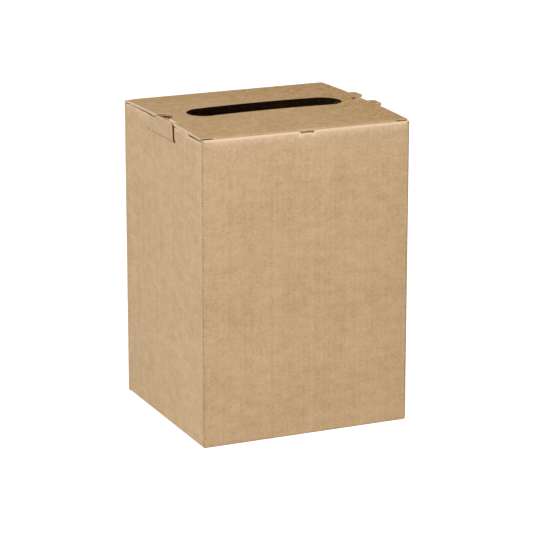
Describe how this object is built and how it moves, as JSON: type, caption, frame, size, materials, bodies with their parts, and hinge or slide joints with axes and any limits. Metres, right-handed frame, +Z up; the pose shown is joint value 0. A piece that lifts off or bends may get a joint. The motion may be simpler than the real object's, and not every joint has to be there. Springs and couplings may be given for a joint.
{
  "type": "competition entry box",
  "caption": "Free-standing kraft corrugated entry box with a posting slot in a tuck-in lid, side locks, dust flaps and a crash-lock base.",
  "frame": {"origin": "middle of the base on the surface the box stands on, half way between the side walls and between the front and back walls", "axes": "+Z up, +Y towards the back wall that carries the lid, +X to the right seen from the front"},
  "size_m": [0.2583, 0.23, 0.3542],
  "materials": {
    "kraft_outer": "matte brown kraft liner with fine vertical flute lines",
    "kraft_inner": "matte brown kraft liner, a little darker"
  },
  "bodies": {
    "carton": {"front_wall": "kraft_outer", "back_wall": "kraft_outer", "left_wall": "kraft_outer", "right_wall": "kraft_outer", "glue_flap": "kraft_inner", "front_base_flap": "kraft_inner", "back_base_flap": "kraft_inner", "left_base_flap": "kraft_inner", "right_base_flap": "kraft_inner", "left_base_glue_tab": "kraft_inner", "right_base_glue_tab": "kraft_inner"},
    "lid": {"lid": "kraft_outer", "left_rear_tongue": "kraft_outer", "left_front_tongue": "kraft_outer", "right_rear_tongue": "kraft_outer", "right_front_tongue": "kraft_outer"},
    "tuck_flap": {"tuck_flap": "kraft_outer"},
    "left_dust_flap": {"left_dust_flap": "kraft_outer"},
    "right_dust_flap": {"right_dust_flap": "kraft_outer"},
    "left_lock_tab": {"left_lock_tab": "kraft_outer"},
    "right_lock_tab": {"right_lock_tab": "kraft_outer"}
  },
  "joints": [
    {"name": "lid_hinge", "type": "hinge", "parent": "carton", "child": "lid", "pos_m": [0, 0.115, 0.35], "axis": [-1, 0, 0], "range_deg": [0, 240]},
    {"name": "tuck_fold", "type": "hinge", "parent": "lid", "child": "tuck_flap", "pos_m": [0, -0.1091, 0.3472], "axis": [1, 0, 0], "range_deg": [0, 20]},
    {"name": "left_dust_fold", "type": "hinge", "parent": "carton", "child": "left_dust_flap", "pos_m": [-0.1222, 0, 0.3441], "axis": [0, 1, 0], "range_deg": [0, 75]},
    {"name": "right_dust_fold", "type": "hinge", "parent": "carton", "child": "right_dust_flap", "pos_m": [0.1222, 0, 0.3441], "axis": [0, -1, 0], "range_deg": [0, 75]},
    {"name": "left_tab_fold", "type": "hinge", "parent": "carton", "child": "left_lock_tab", "pos_m": [-0.125, 0, 0.3299], "axis": [0, -1, 0], "range_deg": [0, 25]},
    {"name": "right_tab_fold", "type": "hinge", "parent": "carton", "child": "right_lock_tab", "pos_m": [0.125, 0, 0.3299], "axis": [0, 1, 0], "range_deg": [0, 25]}
  ]
}
